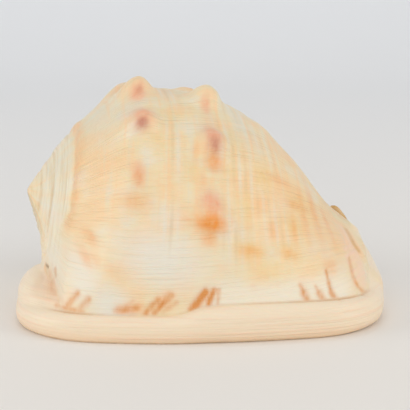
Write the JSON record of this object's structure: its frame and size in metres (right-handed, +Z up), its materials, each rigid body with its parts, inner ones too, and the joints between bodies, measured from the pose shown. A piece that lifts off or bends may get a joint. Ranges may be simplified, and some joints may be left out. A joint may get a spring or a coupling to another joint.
{
  "type": "helmet conch shell",
  "caption": "Heavy knobbed sea shell resting on its flat mouth side, with a thick rolled outer lip, a low spire and an upturned canal.",
  "frame": {"origin": "centre of the bounding box, at the height of the surface that it rests on", "axes": "+X from the spire to the canal, -Y towards the outer lip, +Z up from the mouth side"},
  "size_m": [0.2177, 0.1752, 0.1386],
  "materials": {
    "polished_shell": "polished calcium carbonate shell, cream with peach and orange markings"
  },
  "bodies": {
    "root": {"shell": "polished_shell"}
  },
  "joints": []
}
